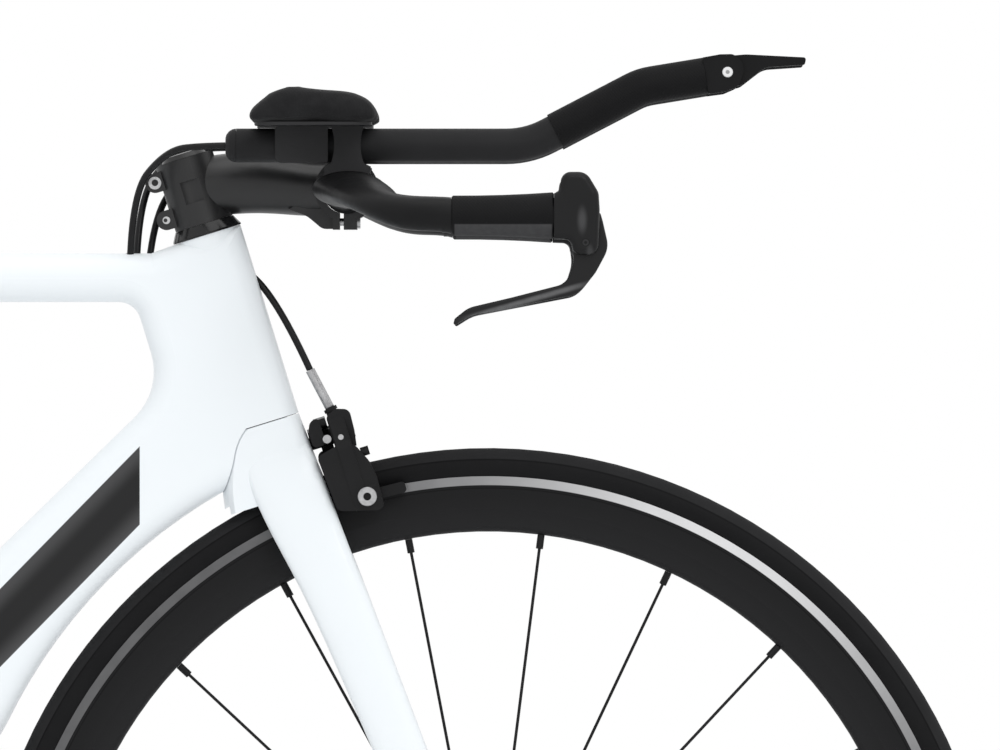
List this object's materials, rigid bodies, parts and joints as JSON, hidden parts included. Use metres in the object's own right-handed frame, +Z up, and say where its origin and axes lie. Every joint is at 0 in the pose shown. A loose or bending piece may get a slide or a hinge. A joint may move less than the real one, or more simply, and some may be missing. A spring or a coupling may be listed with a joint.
{
  "type": "time trial bike",
  "caption": "White time trial bicycle with a deep aero frame, wing base bar, armrests, shift extensions, deep rims, rim brakes and a derailleur drivetrain.",
  "frame": {"origin": "on the ground, midway between the two hubs, in the wheels' plane", "axes": "+X forward, +Y to the rider's left, +Z up"},
  "size_m": [1.6579, 0.4344, 0.9849],
  "materials": {
    "white_paint": "gloss white paint",
    "stem_black": "satin black anodising",
    "cover_black": "gloss black",
    "bar_black": "satin black",
    "extension_black": "gloss black",
    "post_black": "satin black",
    "hood_black": "matt black",
    "lever_black": "satin black",
    "grip_rubber": "matt black with a grey panel",
    "foam": "matt black foam",
    "saddle_cover": "matt black cover",
    "saddle_base": "matt black",
    "rail_steel": "plain steel",
    "bolt_steel": "bright steel",
    "bearing_steel": "black alloy",
    "cable_black": "black cable housing",
    "tyre_rubber": "black rubber",
    "rim_black": "black with bare brake tracks",
    "spoke_black": "black wire",
    "hub_black": "black anodised",
    "axle_steel": "steel",
    "quick_lever": "black alloy",
    "brake_black": "satin black",
    "chain_steel": "bright steel",
    "crank_black": "black anodised",
    "pedal_black": "black",
    "gear_black": "dark alloy",
    "pulley_plastic": "black"
  },
  "bodies": {
    "frame": {"frame": "white_paint", "headset_bearings": "bearing_steel", "bottom_bracket_cups": "bearing_steel", "derailleur_hanger": "gear_black", "seat_clamp": "cover_black", "rear_axle": "axle_steel", "rear_brake_bracket": "brake_black", "chain": "chain_steel", "front_derailleur_body": "gear_black", "rear_cables": "cable_black", "control_cables": "cable_black", "rd_b_knuckle": "gear_black"},
    "seat": {"seat_post": "post_black", "saddle_rails": "rail_steel", "saddle_shell": "saddle_base", "saddle_pad": "saddle_cover"},
    "steering": {"fork": "white_paint", "headset_cover": "cover_black", "stem": "stem_black", "cockpit_bolts": "bolt_steel", "base_bar": "bar_black", "bar_grips": "grip_rubber", "extensions": "extension_black", "extension_clamps": "bar_black", "armrest_pads": "foam", "lever_bodies": "hood_black", "shifter_bodies": "hood_black", "front_axle": "axle_steel", "front_brake_bracket": "brake_black"},
    "front_wheel": {"front_tyre": "tyre_rubber", "front_rim": "rim_black", "front_spokes": "spoke_black", "front_hub": "hub_black"},
    "rear_wheel": {"rear_tyre": "tyre_rubber", "rear_rim": "rim_black", "rear_spokes": "spoke_black", "rear_hub": "hub_black"},
    "crank": {"crank_right": "crank_black", "crank_left": "crank_black", "chainrings": "crank_black"},
    "brake_lever_left": {"brake_lever_left": "lever_black"},
    "brake_lever_right": {"brake_lever_right": "lever_black"},
    "shift_lever_left": {"shift_lever_left": "lever_black"},
    "shift_lever_right": {"shift_lever_right": "lever_black"},
    "front_brake_arm_left": {"front_brake_arm_left": "brake_black"},
    "front_brake_arm_right": {"front_brake_arm_right": "brake_black"},
    "rear_brake_arm_left": {"rear_brake_arm_left": "brake_black"},
    "rear_brake_arm_right": {"rear_brake_arm_right": "brake_black"},
    "cassette": {"cassette": "chain_steel"},
    "left_pedal": {"left_pedal": "pedal_black"},
    "right_pedal": {"right_pedal": "pedal_black"},
    "front_derailleur_cage": {"front_derailleur_cage": "gear_black"},
    "rd_outer_link": {"rd_outer_link": "gear_black"},
    "rd_inner_link": {"rd_inner_link": "gear_black"},
    "rd_p_knuckle": {"rd_p_knuckle": "gear_black"},
    "rd_cage": {"rd_cage": "gear_black"},
    "rd_guide_pulley": {"rd_guide_pulley": "pulley_plastic"},
    "rd_tension_pulley": {"rd_tension_pulley": "pulley_plastic"},
    "front_qr_lever": {"front_qr_lever": "quick_lever"},
    "rear_qr_lever": {"rear_qr_lever": "quick_lever"}
  },
  "joints": [
    {"name": "steering_turn", "type": "hinge", "parent": "frame", "child": "steering", "pos_m": [0.45732, 0, 0.334], "axis": [-0.2957, 0, 0.9553], "range_deg": [-40, 40], "deforming": ["control_cables"]},
    {"name": "front_wheel_spin", "type": "hinge", "parent": "steering", "child": "front_wheel", "pos_m": [0.495, 0, 0.334], "axis": [0, 1, 0], "continuous": true},
    {"name": "rear_wheel_spin", "type": "hinge", "parent": "frame", "child": "rear_wheel", "pos_m": [-0.495, 0, 0.334], "axis": [0, 1, 0], "continuous": true},
    {"name": "crank_spin", "type": "hinge", "parent": "frame", "child": "crank", "pos_m": [-0.09645, 0, 0.262], "axis": [0, 1, 0], "continuous": true, "deforming": ["chain"]},
    {"name": "cassette_spin", "type": "hinge", "parent": "frame", "child": "cassette", "pos_m": [-0.495, -0.04, 0.334], "axis": [0, 1, 0], "continuous": true},
    {"name": "left_pedal_spin", "type": "hinge", "parent": "crank", "child": "left_pedal", "pos_m": [-0.26895, 0.1, 0.262], "axis": [0, 1, 0], "continuous": true},
    {"name": "right_pedal_spin", "type": "hinge", "parent": "crank", "child": "right_pedal", "pos_m": [0.07605, -0.1, 0.262], "axis": [0, 1, 0], "continuous": true},
    {"name": "left_brake_pull", "type": "hinge", "parent": "steering", "child": "brake_lever_left", "pos_m": [0.5584, 0.202, 0.8019], "axis": [0, 1, 0], "range_deg": [0, 20], "stiffness_Nm_per_rad": 0.6, "springref_deg": -8.59},
    {"name": "right_brake_pull", "type": "hinge", "parent": "steering", "child": "brake_lever_right", "pos_m": [0.5584, -0.202, 0.8019], "axis": [0, 1, 0], "range_deg": [0, 20], "stiffness_Nm_per_rad": 0.6, "springref_deg": -8.59},
    {"name": "front_brake_right_swing", "type": "hinge", "parent": "steering", "child": "front_brake_arm_right", "pos_m": [0.355, 0, 0.66453], "axis": [0.9553, 0, 0.2957], "range_deg": [0, 2.2]},
    {"name": "front_brake_left_swing", "type": "hinge", "parent": "steering", "child": "front_brake_arm_left", "pos_m": [0.35382, 0.014, 0.66835], "axis": [0.9553, 0, 0.2957], "range_deg": [-2.2, 0]},
    {"name": "rear_brake_left_swing", "type": "hinge", "parent": "frame", "child": "rear_brake_arm_left", "pos_m": [-0.26448, 0, 0.60915], "axis": [-0.8271, 0, 0.5621], "range_deg": [0, 2.2]},
    {"name": "rear_brake_right_swing", "type": "hinge", "parent": "frame", "child": "rear_brake_arm_right", "pos_m": [-0.26223, -0.014, 0.61246], "axis": [-0.8271, 0, 0.5621], "range_deg": [-2.2, 0]},
    {"name": "right_shift", "type": "hinge", "parent": "steering", "child": "shift_lever_right", "pos_m": [0.65196, -0.062, 0.91438], "axis": [0, 1, 0], "range_deg": [-20, 45], "deforming": ["chain"]},
    {"name": "left_shift", "type": "hinge", "parent": "steering", "child": "shift_lever_left", "pos_m": [0.65196, 0.062, 0.91438], "axis": [0, 1, 0], "range_deg": [0, 45], "deforming": ["chain"]},
    {"name": "front_derailleur_swing", "type": "hinge", "parent": "frame", "child": "front_derailleur_cage", "pos_m": [-0.12, -0.044, 0.415], "axis": [1, 0, 0], "range_deg": [0, 9.2]},
    {"name": "rd_outer_swing", "type": "hinge", "parent": "frame", "child": "rd_outer_link", "pos_m": [-0.5075, -0.07, 0.279], "axis": [1, 0, 0], "range_deg": [-17.5, 39]},
    {"name": "rd_inner_swing", "type": "hinge", "parent": "frame", "child": "rd_inner_link", "pos_m": [-0.5075, -0.0575, 0.284], "axis": [1, 0, 0], "range_deg": [-17.5, 39]},
    {"name": "rd_knuckle_swing", "type": "hinge", "parent": "rd_outer_link", "child": "rd_p_knuckle", "pos_m": [-0.5075, -0.07749, 0.23971], "axis": [1, 0, 0], "range_deg": [-39, 17.5]},
    {"name": "rd_cage_swing", "type": "hinge", "parent": "rd_p_knuckle", "child": "rd_cage", "pos_m": [-0.488, -0.06, 0.244], "axis": [0, 1, 0], "range_deg": [-20, 25], "stiffness_Nm_per_rad": 0.8, "deforming": ["chain"]},
    {"name": "rd_guide_spin", "type": "hinge", "parent": "rd_cage", "child": "rd_guide_pulley", "pos_m": [-0.488, -0.0466, 0.244], "axis": [0, 1, 0], "continuous": true},
    {"name": "rd_tension_spin", "type": "hinge", "parent": "rd_cage", "child": "rd_tension_pulley", "pos_m": [-0.46393, -0.0466, 0.19343], "axis": [0, 1, 0], "continuous": true},
    {"name": "front_qr_open", "type": "hinge", "parent": "steering", "child": "front_qr_lever", "pos_m": [0.495, 0.0688, 0.334], "axis": [-0.9397, 0, -0.342], "range_deg": [0, 150]},
    {"name": "rear_qr_open", "type": "hinge", "parent": "frame", "child": "rear_qr_lever", "pos_m": [-0.495, 0.0838, 0.334], "axis": [-0.6157, 0, 0.788], "range_deg": [0, 150]},
    {"name": "seat_slide", "type": "slide", "parent": "frame", "child": "seat", "axis": [-0.225, 0, 0.9744], "range_m": [-0.05, 0.08]}
  ],
  "couplings": [
    {"joint": "cassette_spin", "follows": "crank_spin", "ratio": 3.7857},
    {"joint": "rd_guide_spin", "follows": "crank_spin", "ratio": -4.8182},
    {"joint": "rd_tension_spin", "follows": "crank_spin", "ratio": 4.8182},
    {"joint": "front_brake_right_swing", "follows": "right_brake_pull", "ratio": 0.1},
    {"joint": "front_brake_left_swing", "follows": "right_brake_pull", "ratio": -0.1},
    {"joint": "rear_brake_left_swing", "follows": "left_brake_pull", "ratio": 0.1},
    {"joint": "rear_brake_right_swing", "follows": "left_brake_pull", "ratio": -0.1},
    {"joint": "front_derailleur_swing", "follows": "left_shift", "ratio": 0.2},
    {"joint": "rd_outer_swing", "follows": "right_shift", "ratio": 0.86},
    {"joint": "rd_inner_swing", "follows": "right_shift", "ratio": 0.86},
    {"joint": "rd_knuckle_swing", "follows": "right_shift", "ratio": -0.86}
  ]
}
